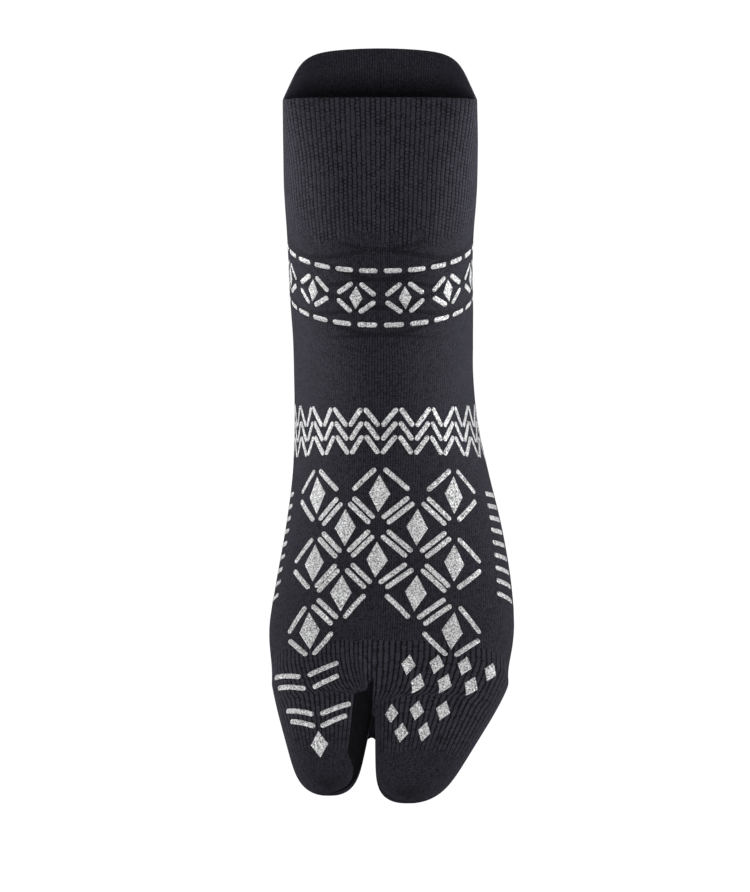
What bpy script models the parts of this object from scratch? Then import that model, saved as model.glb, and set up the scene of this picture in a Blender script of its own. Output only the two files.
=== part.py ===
"""Split-toe grip sock for a left foot, in the form it takes when worn.

The leg stands along Z with the centre of its opening at the origin. The toes point
towards -Y and down, and the little toe lies on the +X side.

One surface gives every knitted zone. It runs down the leg, round the heel and along the
foot through the sections of a short table, parts in a valley before the toes, and ends
in two closed toe caps. Each half of the surface, on the big toe's side and on the small
toes' side, has two parameters: u runs round from the front and instep (0) to the back
and sole (1), and station runs along the sock through the table's rows.
"""

import math
from collections import namedtuple

import bpy
import numpy as np

# Driving dimensions, in metres
LEG_WIDTH = 0.0766
LEG_DEPTH = 0.0780
LEG_HEIGHT = 0.105
CUFF_HEIGHT = 0.050
CUFF_EDGE_DIP = 0.0042
ANKLE_HEIGHT = 0.070
HEEL_TO_ANKLE = 0.053
BALL_WIDTH = 0.0957
TOES_DOWN = math.radians(34)
WEB_FROM_HEEL = 0.2055
BIG_TOE_REACH = 0.0350
SMALL_TOES_REACH = 0.0372
WEB_ROUND = 0.0016
WEB_HEIGHT = 0.0165
WEB_ASIDE = 0.0036
CAP_PAST_WEB = 0.021

CUFF_KNIT = 0.0017
LEG_KNIT = 0.0012
HEEL_KNIT = 0.0016
FOOT_KNIT = 0.0012
TOE_KNIT = 0.0014
SEAM_GAP = 0.0003

GRIP_RADIUS = 0.0034
GRIP_HEIGHT = 0.0009
GRIP_SPACING = 0.0165
GRIP_FIRST = 0.026
GRIP_LAST = 0.200
GRIP_COLUMNS = ((0.0075, 0.0215), (0.0145,))
GRIP_SIDES = 12

# Sections down the leg, round the heel and along the foot, with the mid-line's top and
# bottom in side view and what lies out from it to both sides. Leg rows are shares of
# LEG_DEPTH, LEG_HEIGHT and LEG_WIDTH, foot rows of WEB_FROM_HEEL, ANKLE_HEIGHT and
# BALL_WIDTH. A level is the widest point's height from bottom to top, and a round is
# the power of the section's curve, 2 for an ellipse and more for a boxier one.
Section = namedtuple("Section", "frame top_along top_up bottom_along bottom_up medial lateral "
                                "medial_level lateral_level top_round bottom_round")
SECTIONS = [
    Section("leg", 0.500, 0.000, -0.500, 0.000, 0.500, 0.494, 0.80, 0.80, 3.2, 7.0),
    Section("leg", 0.497, -0.230, -0.485, -0.230, 0.502, 0.502, 0.62, 0.62, 2.8, 2.8),
    Section("leg", 0.490, -0.450, -0.455, -0.450, 0.500, 0.500, 0.53, 0.53, 2.5, 2.4),
    Section("leg", 0.482, -0.620, -0.418, -0.600, 0.488, 0.486, 0.50, 0.50, 2.3, 2.3),
    Section("leg", 0.478, -0.760, -0.440, -0.730, 0.480, 0.481, 0.50, 0.50, 2.2, 2.2),
    Section("foot", 0.373, 1.452, 0.037, 0.793, 0.381, 0.388, 0.50, 0.50, 2.2, 2.1),
    Section("foot", 0.397, 1.363, 0.005, 0.500, 0.377, 0.391, 0.50, 0.50, 2.2, 2.1),
    Section("foot", 0.426, 1.274, 0.014, 0.190, 0.370, 0.392, 0.50, 0.49, 2.2, 2.2),
    Section("foot", 0.465, 1.186, 0.099, 0.012, 0.366, 0.394, 0.48, 0.46, 2.2, 2.4),
    Section("foot", 0.522, 1.066, 0.245, 0.000, 0.363, 0.414, 0.45, 0.42, 2.1, 2.6),
    Section("foot", 0.593, 0.936, 0.389, 0.035, 0.370, 0.459, 0.43, 0.38, 2.1, 2.6),
    Section("foot", 0.681, 0.807, 0.535, 0.070, 0.397, 0.511, 0.42, 0.34, 2.1, 2.6),
    Section("foot", 0.765, 0.697, 0.681, 0.040, 0.436, 0.547, 0.42, 0.33, 2.1, 2.7),
    Section("foot", 0.832, 0.622, 0.812, 0.005, 0.462, 0.552, 0.43, 0.34, 2.1, 2.7),
    Section("foot", 0.917, 0.530, 0.917, 0.000, 0.437, 0.501, 0.45, 0.38, 2.2, 2.6),
    Section("foot", 1.000, 0.455, 1.000, 0.015, 0.408, 0.440, 0.48, 0.42, 2.3, 2.5),
]

# Places on the sections' scale: the table's rows counted from 0 at the leg opening
EDGE_FADE = 1.6
HEEL_START = 4.45
HEEL_END = 8.75
VALLEY_START = 12.4
WEB = len(SECTIONS) - 1

# The heel pocket's side seam, as a share of the way round from front to back
HEEL_SIDE_SHARE = 0.53

# How far the knit's columns gather towards the mid-lines at the web, the power of the
# curve that the cuff's edge dips by in front, and the shares of its width and of its dip
# that the edge loses towards the back
GATHER = 0.5
DIP_CURVE = 1.6
EDGE_TAPER = 0.185
BACK_DIP_LOSS = 0.4

# The two toe pockets past the web: the middle and half width there and how both change
# towards the tip, how blunt the tip is, and its heights and rounds, as shares of
# BALL_WIDTH and ANKLE_HEIGHT. HOLD is where the taper stops on the way back up the foot.
Toe = namedtuple("Toe", "reach middle drift half taper blunt low high fall lift round_in round_out")
BIG_TOE = Toe(BIG_TOE_REACH, -0.2258, 0.0120, 0.1907, 0.40, 8.0, 0.015, 0.456, 0.36, 0.08, 3.0, 2.3)
SMALL_TOES = Toe(SMALL_TOES_REACH, 0.2156, -0.1050, 0.2384, 0.45, 9.0, 0.015, 0.430, 0.44, 0.06, 2.7, 2.3)
HOLD = -0.4
DRAW_WIDTH = 4

HALF_FACETS = 16
ROW_LENGTH = 0.0070
VALLEY_ROWS = 9
WEB_ROWS = 3
CAP_ROWS = 6

MEDIAL = -1
LATERAL = 1
TOES = {MEDIAL: BIG_TOE, LATERAL: SMALL_TOES}
SEAM = ""

# Grips under the toes: side, share of the way round, and share of the toe's reach
TOE_GRIPS = ((MEDIAL, 0.78, 0.60), (LATERAL, 0.69, 0.56), (LATERAL, 0.80, 0.56))


def smooth(x):
    """Rise from 0 to 1 with a level start and end."""
    x = np.clip(x, 0.0, 1.0)
    return x * x * (3.0 - 2.0 * x)


def power(x, exponent):
    """Power that keeps the sign of what it is given."""
    return np.sign(x) * np.abs(x) ** exponent


def through(values, at):
    """Smooth curve through one value for each section, read at fractional rows."""
    values = np.asarray(values, dtype=float)
    slopes = np.gradient(values)
    row = np.clip(np.floor(at).astype(int), 0, len(values) - 2)
    t = at - row
    return ((1 + 2 * t) * (1 - t) ** 2 * values[row] + t * (1 - t) ** 2 * slopes[row]
            + t * t * (3 - 2 * t) * values[row + 1] + t * t * (t - 1) * slopes[row + 1])


def foot_point(along, up):
    """Side view of a point given from the heel along the sole and up from it."""
    forward = along - HEEL_TO_ANKLE
    above = up - ANKLE_HEIGHT
    y = -forward * math.cos(TOES_DOWN) - above * math.sin(TOES_DOWN)
    z = -LEG_HEIGHT - forward * math.sin(TOES_DOWN) + above * math.cos(TOES_DOWN)
    return y, z


def section_point(frame, along, up):
    """Side view of a table point in its own frame."""
    if frame == "leg":
        return -along * LEG_DEPTH, up * LEG_HEIGHT
    return foot_point(along * WEB_FROM_HEEL, up * ANKLE_HEIGHT)


def column(name):
    return np.array([getattr(section, name) for section in SECTIONS])


WIDTHS = np.array([LEG_WIDTH if section.frame == "leg" else BALL_WIDTH for section in SECTIONS])
TOPS = np.array([section_point(s.frame, s.top_along, s.top_up) for s in SECTIONS])
BOTTOMS = np.array([section_point(s.frame, s.bottom_along, s.bottom_up) for s in SECTIONS])


def middle_x(station):
    """The mid-line keeps to the leg's axis and bends to the web past the ankle."""
    return -WEB_ASIDE * smooth((station - HEEL_END) / (WEB - HEEL_END))


def body_curve(side, u, station):
    """Section of the leg and foot: a powered ellipse whose halves have their own rounds."""
    gather = GATHER * smooth((station - HEEL_END) / (WEB - HEEL_END))
    turn = math.pi * (u - gather * np.sin(2 * math.pi * u) / (2 * math.pi))
    name = "medial" if side == MEDIAL else "lateral"
    reach = through(column(name) * WIDTHS, station)
    level = through(column(name + "_level"), station)
    bend = np.where(u < 0.5, through(column("top_round"), station), through(column("bottom_round"), station))
    middle = middle_x(station)
    height = power(np.cos(turn), 2 / bend)
    edge = 1 - smooth(station / EDGE_FADE)
    back, aside = np.clip(-height, 0, 1), np.abs(np.sin(turn)) ** (2 / bend)
    narrow = 1 - EDGE_TAPER * edge * back
    x = middle + (side * reach - middle) * narrow * aside
    share = level + np.where(height > 0, 1 - level, level) * height
    top_y, top_z = through(TOPS[:, 0], station), through(TOPS[:, 1], station)
    low_y, low_z = through(BOTTOMS[:, 0], station), through(BOTTOMS[:, 1], station)
    dip = np.where(height > 0, 1 - np.abs(height) ** DIP_CURVE, (1 - BACK_DIP_LOSS * back) * aside ** 2)
    edge_dip = CUFF_EDGE_DIP * edge * dip
    return np.stack([x, low_y + share * (top_y - low_y), low_z + share * (top_z - low_z) - edge_dip], axis=-1)


def toe_curve(side, u, past):
    """Section of one toe pocket: a powered ellipse that tapers and closes at the tip.

    It starts at the point that faces the other pocket and runs over the top. Near the
    web that point is drawn to the web in a quarter circle, so the gap opens rounded.
    """
    toe = TOES[side]
    held = np.maximum(past, HOLD)
    close = np.sqrt(np.clip(1 - np.clip(past, 0, 1) ** toe.blunt, 0, 1))
    half = toe.half * BALL_WIDTH * (1 - toe.taper * held) * close
    middle = (toe.middle + toe.drift * held) * BALL_WIDTH
    low = (toe.low + toe.lift * np.maximum(past, 0)) * ANKLE_HEIGHT
    high = toe.high * (1 - toe.fall * held) * ANKLE_HEIGHT
    turn = 2 * math.pi * u
    bend = np.where(np.cos(turn) > 0, toe.round_in, toe.round_out)
    x = middle - side * half * power(np.cos(turn), 2 / bend)
    height = (low + high) / 2 + (high - low) / 2 * close * power(np.sin(turn), 2 / bend)
    open_share = np.clip(past * toe.reach / WEB_ROUND, 0, 1)
    draw = (1 - np.sqrt(1 - (1 - open_share) ** 2)) * np.clip(np.cos(turn), 0, 1) ** DRAW_WIDTH
    x = x + draw * (-WEB_ASIDE - (middle - side * half))
    height = height + draw * (WEB_HEIGHT - (low + high) / 2)
    y, z = foot_point(WEB_FROM_HEEL + past * toe.reach, height)
    return np.stack([x, y, z], axis=-1)


def sock_surface(side, u, station):
    """Outer face of the knit. Stations up to WEB are table rows, and past it a share of the toe."""
    u, station = np.broadcast_arrays(u, station)
    toe = TOES[side]
    row = np.minimum(station, WEB)
    along = through(column("top_along") * WEB_FROM_HEEL, row)
    past = np.where(station > WEB, station - WEB, (along - WEB_FROM_HEEL) / toe.reach)
    deep = np.clip((station - VALLEY_START) / (WEB - VALLEY_START), 0, 1)
    at_web = 1 - np.sqrt(1 - deep ** 3)
    share = at_web + (smooth(deep) - at_web) * np.sin(math.pi * u) ** 2
    body = body_curve(side, u, row)
    toe_part = toe_curve(side, u, past)
    return body + share[..., None] * (toe_part - body)


def slopes(side, u, station):
    """How the surface runs on with u and with the station."""
    step = 1e-4
    around = sock_surface(side, u + step, station) - sock_surface(side, u - step, station)
    along = sock_surface(side, u, station + step) - sock_surface(side, u, station - step)
    return around / (2 * step), along / (2 * step)


def unit(vectors):
    return vectors / np.maximum(np.linalg.norm(vectors, axis=-1, keepdims=True), 1e-12)


def square_to(vectors, others):
    """The part of each vector that is square to another."""
    others = unit(others)
    return vectors - (vectors * others).sum(axis=-1, keepdims=True) * others


def stations_between(start, end):
    """Even stations, as many as the longest of the front, side and back lines needs."""
    at = np.linspace(start, end, 60)
    lines = sock_surface(LATERAL, np.array([0.0, 0.5, 1.0])[:, None], at[None, :])
    length = np.linalg.norm(np.diff(lines, axis=1), axis=-1).sum(axis=1).max()
    return np.linspace(start, end, max(2, round(length / ROW_LENGTH)) + 1)


def cuff_end():
    """Station at the cuff's height below the leg opening."""
    at = np.linspace(0, HEEL_START, 200)
    return np.interp(CUFF_HEIGHT, -through(TOPS[:, 1], at), at)


def bands(side):
    """Rows of each knitted zone, down the sock; a zone begins at the station where the last one ends."""
    reach = TOES[side].reach
    quarter = np.linspace(0, math.pi / 2, VALLEY_ROWS + 1)
    valley = VALLEY_START + (WEB - VALLEY_START) * np.sin(quarter) ** (2 / 3)
    opening = WEB + WEB_ROUND / reach * (1 - np.cos(np.linspace(0, math.pi / 2, WEB_ROWS + 1)))
    cap_start = WEB + CAP_PAST_WEB / reach
    before_cap = np.linspace(opening[-1], cap_start, 3)
    cap = cap_start + (WEB + 1 - cap_start) * np.sin(np.linspace(0, math.pi / 2, CAP_ROWS + 1))
    foot = np.concatenate([stations_between(HEEL_END, VALLEY_START), valley[1:], opening[1:], before_cap[1:]])
    return [("ribbed_cuff", stations_between(0, cuff_end())),
            ("leg_tube", stations_between(cuff_end(), HEEL_START)),
            ("heel_pocket", stations_between(HEEL_START, HEEL_END)),
            ("foot_tube", foot),
            ("big_toe_cap" if side == MEDIAL else "small_toes_cap", cap)]


def zone_grid(side):
    """Points of one side and the zone of each cell. Seams are pairs of lines SEAM_GAP apart."""
    rows = bands(side)
    station = np.concatenate([values for _, values in rows])
    row_shift = np.concatenate([np.r_[0.5, np.zeros(len(values) - 2), -0.5] for _, values in rows]) * SEAM_GAP
    row_shift[[0, -1]] = 0
    front = np.linspace(0, HEEL_SIDE_SHARE, HALF_FACETS // 2 + 1)
    back = np.linspace(HEEL_SIDE_SHARE, 1, HALF_FACETS // 2 + 1)
    u = np.concatenate([front, back])
    col_shift = np.zeros(len(u))
    col_shift[[len(front) - 1, len(front)]] = -SEAM_GAP / 2, SEAM_GAP / 2
    grid_u, grid_station = np.broadcast_arrays(u[None, :], station[:, None])
    around, along = slopes(side, grid_u, grid_station)
    points = sock_surface(side, grid_u, grid_station)
    points = (points + row_shift[:, None, None] * unit(square_to(along, around))
              + col_shift[None, :, None] * unit(square_to(around, along)))

    row_zones = []
    for name, values in rows:
        row_zones += [name] * (len(values) - 1) + [SEAM]
    zones = np.tile(np.array(row_zones[:-1])[:, None], (1, len(u) - 1))
    heel_rows = np.flatnonzero(zones[:, 0] == "heel_pocket")
    seam_col = len(front) - 1
    zones[heel_rows, :seam_col] = "foot_tube"
    zones[heel_rows, seam_col] = SEAM
    zones[heel_rows[-1] + 1, :seam_col] = "foot_tube"
    return points, zones


def sock_mesh():
    """Both sides joined: points, their normals, and the faces of each zone, turned outwards."""
    points, faces, count = [], {}, 0
    for side in (MEDIAL, LATERAL):
        grid, zones = zone_grid(side)
        index = count + np.arange(grid.shape[0] * grid.shape[1]).reshape(grid.shape[:2])
        quads = np.stack([index[:-1, :-1], index[1:, :-1], index[1:, 1:], index[:-1, 1:]], axis=-1)
        if side == MEDIAL:
            quads = quads[..., ::-1]
        points.append(grid.reshape(-1, 3))
        count += index.size
        for name in np.unique(zones):
            faces.setdefault(name, []).append(quads[zones == name])
    points = np.concatenate(points)
    _, first, shared = np.unique(np.round(points, 7), axis=0, return_index=True, return_inverse=True)
    points = points[first]
    faces = {name: shared.reshape(-1)[np.concatenate(parts)] for name, parts in faces.items()}
    quads = np.concatenate(list(faces.values()))
    corners = points[quads]
    turned = np.cross(corners[:, 2] - corners[:, 0], corners[:, 3] - corners[:, 1])
    normals = np.zeros_like(points)
    for corner in range(4):
        np.add.at(normals, quads[:, corner], turned)
    return points, unit(normals), faces


def add_object(name, points, faces, material):
    mesh = bpy.data.meshes.new(name)
    mesh.from_pydata([tuple(point) for point in points], [], faces)
    mesh.materials.append(material)
    mesh.shade_smooth()
    mesh.set_sharp_from_angle(angle=math.radians(40))
    thing = bpy.data.objects.new(name, mesh)
    bpy.context.collection.objects.link(thing)
    return thing


def add_shell(name, points, normals, quads, knit, material):
    """Knitted zone as a closed wall: outer faces, inner faces one knit in, and the cut edges."""
    used, index = np.unique(quads, return_inverse=True)
    outer = [list(dict.fromkeys(face)) for face in index.reshape(quads.shape).tolist()]
    count = len(used)
    inner = [[corner + count for corner in reversed(face)] for face in outer]
    edges = {edge for face in outer for edge in zip(face, face[1:] + face[:1])}
    rims = [[b, a, a + count, b + count] for a, b in sorted(edges) if (b, a) not in edges]
    wall = np.concatenate([points[used], points[used] - knit * normals[used]])
    return add_object(name, wall, outer + inner + rims, material)


def add_grip(name, side, u, station, material):
    """Silicone pad printed on the sole: a low round button that follows the knit under it."""
    around, along = (np.linalg.norm(slope) for slope in slopes(side, u, station))
    turn = np.linspace(0, 2 * math.pi, GRIP_SIDES, endpoint=False)
    rings = []
    for radius, height in ((1.0, 0.0), (1.0, 0.5), (0.72, 1.0)):
        ring_u = u + radius * GRIP_RADIUS / around * np.cos(turn)
        ring_station = station + radius * GRIP_RADIUS / along * np.sin(turn)
        ring_around, ring_along = slopes(side, ring_u, ring_station)
        normal = side * unit(np.cross(ring_along, ring_around))
        rings.append(sock_surface(side, ring_u, ring_station) + (SEAM_GAP + height * GRIP_HEIGHT) * normal)
    faces = [[(level + row) * GRIP_SIDES + (corner + spot) % GRIP_SIDES
              for row, spot in ((0, 0), (0, 1), (1, 1), (1, 0))]
             for level in range(2) for corner in range(GRIP_SIDES)]
    ring = list(range(GRIP_SIDES))
    faces += [ring[::-1], [2 * GRIP_SIDES + corner for corner in ring]]
    if side == LATERAL:
        faces = [face[::-1] for face in faces]
    return add_object(name, np.concatenate(rings), faces, material)


def grip_places():
    """Side, u and station of each grip: staggered rows under the sole, and a few under the toes."""
    at = np.linspace(HEEL_END - 1, WEB, 200)
    along = through(column("bottom_along") * WEB_FROM_HEEL, at)
    places = []
    for row, distance in enumerate(np.arange(GRIP_FIRST, GRIP_LAST, GRIP_SPACING)):
        station = np.interp(distance, along, at)
        for side in (MEDIAL, LATERAL):
            u = np.linspace(1, 0.6, 80)
            aside = np.abs(sock_surface(side, u, station)[:, 0] - middle_x(station))
            for offset in GRIP_COLUMNS[row % 2]:
                places.append((side, np.interp(offset, aside, u), station))
    return places + [(side, u, WEB + reach) for side, u, reach in TOE_GRIPS]


def knit_material(name, colour, roughness):
    material = bpy.data.materials.new(name)
    material.use_nodes = True
    shader = material.node_tree.nodes["Principled BSDF"]
    shader.inputs["Base Color"].default_value = (*colour, 1)
    shader.inputs["Roughness"].default_value = roughness
    shader.inputs["Metallic"].default_value = 0
    return material


def build():
    for thing in list(bpy.data.objects):
        bpy.data.objects.remove(thing, do_unlink=True)
    knit = knit_material("charcoal knit", (0.018, 0.018, 0.023), 0.85)
    rib = knit_material("ribbed knit", (0.016, 0.016, 0.020), 0.90)
    silicone = knit_material("black silicone", (0.010, 0.010, 0.012), 0.45)
    points, normals, faces = sock_mesh()
    zones = (("ribbed_cuff", CUFF_KNIT, rib), ("leg_tube", LEG_KNIT, knit), ("heel_pocket", HEEL_KNIT, knit),
             ("foot_tube", FOOT_KNIT, knit), ("big_toe_cap", TOE_KNIT, knit), ("small_toes_cap", TOE_KNIT, knit))
    for name, thickness, material in zones:
        add_shell(name, points, normals, faces[name], thickness, material)
    for number, (side, u, station) in enumerate(grip_places(), start=1):
        add_grip(f"grip_{number:02d}", side, u, station, silicone)


build()
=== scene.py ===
"""Looks of a split-toe grip sock for a left foot, shown as worn, in metres, with +Z up the leg."""

import math
from collections import namedtuple
from functools import reduce

import bpy
import numpy as np
from mathutils import Matrix


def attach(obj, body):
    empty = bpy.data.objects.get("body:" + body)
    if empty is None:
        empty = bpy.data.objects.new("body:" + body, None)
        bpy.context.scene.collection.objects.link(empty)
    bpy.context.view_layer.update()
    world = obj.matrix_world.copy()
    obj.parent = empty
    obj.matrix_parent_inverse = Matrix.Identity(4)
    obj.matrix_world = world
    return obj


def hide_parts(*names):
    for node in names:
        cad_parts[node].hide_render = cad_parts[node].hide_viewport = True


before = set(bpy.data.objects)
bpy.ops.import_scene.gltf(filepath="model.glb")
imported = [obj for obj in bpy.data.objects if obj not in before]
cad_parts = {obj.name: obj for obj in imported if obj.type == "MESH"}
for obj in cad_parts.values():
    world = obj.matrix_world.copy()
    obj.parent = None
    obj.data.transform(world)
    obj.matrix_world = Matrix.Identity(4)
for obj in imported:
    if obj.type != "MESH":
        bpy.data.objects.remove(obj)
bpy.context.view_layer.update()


# Ribbed cuff: the first piece off the knitting machine, a double turned edge and then
# mock rib, in charcoal cotton with an elastic thread laid in. Its columns of stitches
# stand up as rounded ribs. Everything below it is knitted on, so the sock's one form,
# which all the knitted pieces follow, is worked out here. Sizes are in metres. Stations,
# shares and exponents have no unit.
LEG_WIDTH = 0.0766
LEG_DEPTH = 0.0780
LEG_HEIGHT = 0.105
CUFF_HEIGHT = 0.050
CUFF_EDGE_DIP = 0.0042
ANKLE_HEIGHT = 0.070
HEEL_TO_ANKLE = 0.053
BALL_WIDTH = 0.0957
TOES_DOWN = math.radians(34)
WEB_FROM_HEEL = 0.2055
WEB_ROUND = 0.0016
WEB_HEIGHT = 0.0165
WEB_ASIDE = 0.0036
EDGE_FADE = 1.6
HEEL_START = 4.45
HEEL_END = 8.75
VALLEY_START = 12.4
WEB = 15
GATHER = 0.5
DIP_CURVE = 1.6
EDGE_TAPER = 0.185
BACK_DIP_LOSS = 0.4
HOLD = -0.4
DRAW_WIDTH = 4
WEB_PLUNGE = 0.5
SHOULDER_PLUNGE = 1.4
SHOULDER_START = 0.4
MEDIAL = -1
LATERAL = 1

# One row for each section: its frame, the mid-line's top and bottom, the reach to both
# sides, the height of the widest point on both sides, and how boxy top and bottom are
SECTIONS = (
    ("leg", 0.500, 0.000, -0.500, 0.000, 0.500, 0.494, 0.80, 0.80, 3.2, 7.0),
    ("leg", 0.497, -0.230, -0.485, -0.230, 0.502, 0.502, 0.62, 0.62, 2.8, 2.8),
    ("leg", 0.490, -0.450, -0.455, -0.450, 0.500, 0.500, 0.53, 0.53, 2.5, 2.4),
    ("leg", 0.482, -0.620, -0.418, -0.600, 0.488, 0.486, 0.50, 0.50, 2.3, 2.3),
    ("leg", 0.478, -0.760, -0.440, -0.730, 0.480, 0.481, 0.50, 0.50, 2.2, 2.2),
    ("foot", 0.373, 1.452, 0.037, 0.793, 0.381, 0.388, 0.50, 0.50, 2.2, 2.1),
    ("foot", 0.397, 1.363, 0.005, 0.500, 0.377, 0.391, 0.50, 0.50, 2.2, 2.1),
    ("foot", 0.426, 1.274, 0.014, 0.190, 0.370, 0.392, 0.50, 0.49, 2.2, 2.2),
    ("foot", 0.465, 1.186, 0.099, 0.012, 0.366, 0.394, 0.48, 0.46, 2.2, 2.4),
    ("foot", 0.522, 1.066, 0.245, 0.000, 0.363, 0.414, 0.45, 0.42, 2.1, 2.6),
    ("foot", 0.593, 0.936, 0.389, 0.035, 0.370, 0.459, 0.43, 0.38, 2.1, 2.6),
    ("foot", 0.681, 0.807, 0.535, 0.070, 0.397, 0.511, 0.42, 0.34, 2.1, 2.6),
    ("foot", 0.765, 0.697, 0.681, 0.040, 0.436, 0.547, 0.42, 0.33, 2.1, 2.7),
    ("foot", 0.832, 0.622, 0.812, 0.005, 0.462, 0.552, 0.43, 0.34, 2.1, 2.7),
    ("foot", 0.917, 0.530, 0.917, 0.000, 0.437, 0.501, 0.45, 0.38, 2.2, 2.6),
    ("foot", 1.000, 0.455, 1.000, 0.015, 0.408, 0.440, 0.48, 0.42, 2.3, 2.5),
)
Toe = namedtuple("Toe", "reach middle drift half taper blunt low high fall lift round_in round_out")
TOES = {
    MEDIAL: Toe(0.0350, -0.2258, 0.0120, 0.1907, 0.40, 8.0, 0.015, 0.456, 0.36, 0.08, 3.0, 2.3),
    LATERAL: Toe(0.0372, 0.2156, -0.1050, 0.2384, 0.45, 9.0, 0.015, 0.430, 0.44, 0.06, 2.7, 2.3),
}


def smooth(x):
    """Rise from 0 to 1 with a level start and end: 3x^2 - 2x^3."""
    x = np.clip(x, 0.0, 1.0)
    return x * x * (3.0 - 2.0 * x)


def power(x, exponent):
    """x to a power, with the sign of x kept."""
    return np.sign(x) * np.abs(x) ** exponent


def through(values, at):
    """Cubic curve through one value for each section, whose slope there is the mean of both sides' steps."""
    values = np.asarray(values, dtype=float)
    slopes = np.gradient(values)
    row = np.clip(np.floor(at).astype(int), 0, len(values) - 2)
    t = at - row
    return ((1 + 2 * t) * (1 - t) ** 2 * values[row] + t * (1 - t) ** 2 * slopes[row]
            + t * t * (3 - 2 * t) * values[row + 1] + t * t * (t - 1) * slopes[row + 1])


def foot_point(along, up):
    """Y and Z of a point from its way along and up from the sole, turned by the toes' angle."""
    forward = along - HEEL_TO_ANKLE
    above = up - ANKLE_HEIGHT
    y = -forward * math.cos(TOES_DOWN) - above * math.sin(TOES_DOWN)
    z = -LEG_HEIGHT - forward * math.sin(TOES_DOWN) + above * math.cos(TOES_DOWN)
    return y, z


def side_view(rows, along, up):
    """Y and Z of table points, leg rows by the leg's sizes and foot rows by the foot's."""
    points = [(-row[along] * LEG_DEPTH, row[up] * LEG_HEIGHT) if row[0] == "leg"
              else foot_point(row[along] * WEB_FROM_HEEL, row[up] * ANKLE_HEIGHT) for row in rows]
    return np.array(points)


def table_column(number):
    """One entry of every section."""
    return np.array([row[number] for row in SECTIONS])


TOPS = side_view(SECTIONS, 1, 2)
BOTTOMS = side_view(SECTIONS, 3, 4)
TOP_ALONG = table_column(1) * WEB_FROM_HEEL
WIDTHS = np.where(table_column(0) == "leg", LEG_WIDTH, BALL_WIDTH)
REACH = {MEDIAL: table_column(5), LATERAL: table_column(6)}
LEVEL = {MEDIAL: table_column(7), LATERAL: table_column(8)}
TOP_ROUND = table_column(9)
BOTTOM_ROUND = table_column(10)


def body_curve(side, u, station):
    """Half a section of leg or foot: x and height go as powers of sine and cosine of one half turn.

    The cuff's edge narrows towards the back and dips at both sides, which fades out down the leg."""
    gather = GATHER * smooth((station - HEEL_END) / (WEB - HEEL_END))
    turn = math.pi * (u - gather * np.sin(2 * math.pi * u) / (2 * math.pi))
    bend = np.where(u < 0.5, through(TOP_ROUND, station), through(BOTTOM_ROUND, station))
    middle = -WEB_ASIDE * smooth((station - HEEL_END) / (WEB - HEEL_END))
    height = power(np.cos(turn), 2 / bend)
    edge = 1 - smooth(station / EDGE_FADE)
    back, aside = np.clip(-height, 0, 1), np.abs(np.sin(turn)) ** (2 / bend)
    narrow = 1 - EDGE_TAPER * edge * back
    x = middle + (side * through(REACH[side] * WIDTHS, station) - middle) * narrow * aside
    level = through(LEVEL[side], station)
    share = level + np.where(height > 0, 1 - level, level) * height
    top_y, top_z = through(TOPS[:, 0], station), through(TOPS[:, 1], station)
    low_y, low_z = through(BOTTOMS[:, 0], station), through(BOTTOMS[:, 1], station)
    dip = np.where(height > 0, 1 - np.abs(height) ** DIP_CURVE, (1 - BACK_DIP_LOSS * back) * aside ** 2)
    edge_dip = CUFF_EDGE_DIP * edge * dip
    return np.stack([x, low_y + share * (top_y - low_y), low_z + share * (top_z - low_z) - edge_dip], axis=-1)


def toe_curve(side, u, past):
    """Section of a toe pocket: a powered ellipse that tapers, closes at its tip and opens from the web."""
    toe = TOES[side]
    held = np.maximum(past, HOLD)
    close = np.sqrt(np.clip(1 - np.clip(past, 0, 1) ** toe.blunt, 0, 1))
    half = toe.half * BALL_WIDTH * (1 - toe.taper * held) * close
    middle = (toe.middle + toe.drift * held) * BALL_WIDTH
    low = (toe.low + toe.lift * np.maximum(past, 0)) * ANKLE_HEIGHT
    high = toe.high * (1 - toe.fall * held) * ANKLE_HEIGHT
    turn = 2 * math.pi * u
    bend = np.where(np.cos(turn) > 0, toe.round_in, toe.round_out)
    x = middle - side * half * power(np.cos(turn), 2 / bend)
    height = (low + high) / 2 + (high - low) / 2 * close * power(np.sin(turn), 2 / bend)
    open_share = np.clip(past * toe.reach / WEB_ROUND, 0, 1)
    draw = (1 - np.sqrt(1 - (1 - open_share) ** 2)) * np.clip(np.cos(turn), 0, 1) ** DRAW_WIDTH
    x = x + draw * (-WEB_ASIDE - (middle - side * half))
    height = height + draw * (WEB_HEIGHT - (low + high) / 2)
    y, z = foot_point(WEB_FROM_HEEL + past * toe.reach, height)
    return np.stack([x, y, z], axis=-1)


def sock_surface(side, u, station):
    """Outer face of the knit. u runs from the front and instep (0) to the back and sole (1), and station
    runs down the table's rows to the web at 15 and on by a share of the toe's reach to the tip at 16. The
    valley plunges at the web itself and runs out more softly on the toes' shoulders."""
    u, station = np.broadcast_arrays(u, station)
    toe = TOES[side]
    row = np.minimum(station, WEB)
    past = np.where(station > WEB, station - WEB, (through(TOP_ALONG, row) - WEB_FROM_HEEL) / toe.reach)
    deep = np.clip((station - VALLEY_START) / (WEB - VALLEY_START), 0, 1)
    on_shoulder = smooth(np.sin(math.pi * u) / SHOULDER_START)
    at_web = 1 - (1 - deep ** 3) ** (WEB_PLUNGE + (SHOULDER_PLUNGE - WEB_PLUNGE) * on_shoulder)
    share = at_web + (smooth(deep) - at_web) * np.sin(math.pi * u) ** 2
    body = body_curve(side, u, row)
    return body + share[..., None] * (toe_curve(side, u, past) - body)


def unit(vectors):
    """Each vector divided by its length."""
    return vectors / np.maximum(np.linalg.norm(vectors, axis=-1, keepdims=True), 1e-12)


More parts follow.
